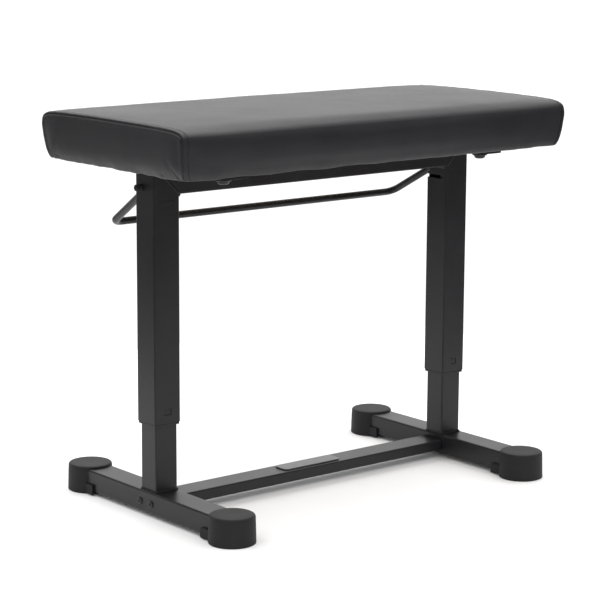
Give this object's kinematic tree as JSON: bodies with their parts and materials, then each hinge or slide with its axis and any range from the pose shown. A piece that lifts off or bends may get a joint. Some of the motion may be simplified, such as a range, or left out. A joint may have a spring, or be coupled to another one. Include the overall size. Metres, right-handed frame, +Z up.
{
  "type": "piano bench",
  "caption": "Padded piano bench on two telescoping columns with lockable gas springs and a release bail behind the seat.",
  "frame": {"origin": "on the floor, under the centre of the bench", "axes": "+X along the length of the seat, +Y to the back where the release bar is, +Z up"},
  "size_m": [0.644, 0.3764, 0.516],
  "materials": {
    "powder_coat": "satin",
    "black_rubber": "matte",
    "black_plastic": "matte",
    "leatherette": "satin",
    "plywood": "matte",
    "chrome_rod": "polished",
    "zinc_steel": "satin",
    "black_steel": "satin",
    "plate_silver": "satin"
  },
  "bodies": {
    "base": {"base_rail_left": "powder_coat", "base_rail_right": "powder_coat", "foot_cap_front_left": "black_rubber", "foot_cap_back_left": "black_rubber", "foot_cap_front_right": "black_rubber", "foot_cap_back_right": "black_rubber", "stretcher": "powder_coat", "stretcher_end_block_left": "zinc_steel", "stretcher_end_block_right": "zinc_steel", "stretcher_screw_front_left": "black_steel", "stretcher_screw_back_left": "black_steel", "stretcher_screw_front_right": "black_steel", "stretcher_screw_back_right": "black_steel", "blank_name_plate": "plate_silver", "inner_column_left": "powder_coat", "inner_column_right": "powder_coat", "upper_bush_left": "black_plastic", "upper_bush_right": "black_plastic", "cylinder_plug_left": "zinc_steel", "cylinder_plug_right": "zinc_steel", "gas_cylinder_left": "powder_coat", "gas_cylinder_right": "powder_coat"},
    "seat_frame": {"outer_column_left": "powder_coat", "outer_column_right": "powder_coat", "top_rail": "powder_coat", "lower_bush_left": "black_plastic", "lower_bush_right": "black_plastic", "spring_plate_left": "powder_coat", "spring_plate_right": "powder_coat", "piston_rod_left": "chrome_rod", "piston_rod_right": "chrome_rod", "rod_nut_left": "zinc_steel", "rod_nut_right": "zinc_steel", "seat_bracket_front_left": "powder_coat", "seat_bracket_back_left": "powder_coat", "seat_bracket_front_right": "powder_coat", "seat_bracket_back_right": "powder_coat", "seat_spacer_front_left": "black_rubber", "seat_spacer_back_left": "black_rubber", "seat_spacer_front_right": "black_rubber", "seat_spacer_back_right": "black_rubber", "seat_bolt_front_left": "zinc_steel", "seat_bolt_back_left": "zinc_steel", "seat_bolt_front_right": "zinc_steel", "seat_bolt_back_right": "zinc_steel", "seat_board": "plywood", "seat_cushion": "leatherette"},
    "bail": {"bail_rod": "powder_coat", "release_axle": "zinc_steel", "release_lever_left": "zinc_steel", "release_lever_right": "zinc_steel", "axle_cap_left": "black_rubber", "axle_cap_right": "black_rubber"},
    "release_pin_left": {"release_pin_left": "zinc_steel"},
    "release_pin_right": {"release_pin_right": "zinc_steel"}
  },
  "joints": [
    {"name": "seat_lift", "type": "slide", "parent": "base", "child": "seat_frame", "axis": [0, 0, 1], "range_m": [-0.06, 0.065]},
    {"name": "bail_lift", "type": "hinge", "parent": "seat_frame", "child": "bail", "pos_m": [0, 0.007, 0.428], "axis": [1, 0, 0], "range_deg": [0, 15]},
    {"name": "pin_press_left", "type": "slide", "parent": "seat_frame", "child": "release_pin_left", "axis": [0, 0, 1], "range_m": [-0.003, 0]},
    {"name": "pin_press_right", "type": "slide", "parent": "seat_frame", "child": "release_pin_right", "axis": [0, 0, 1], "range_m": [-0.003, 0]}
  ],
  "couplings": [
    {"joint": "pin_press_left", "follows": "bail_lift", "m_per_rad": -0.0095},
    {"joint": "pin_press_right", "follows": "bail_lift", "m_per_rad": -0.0095}
  ]
}
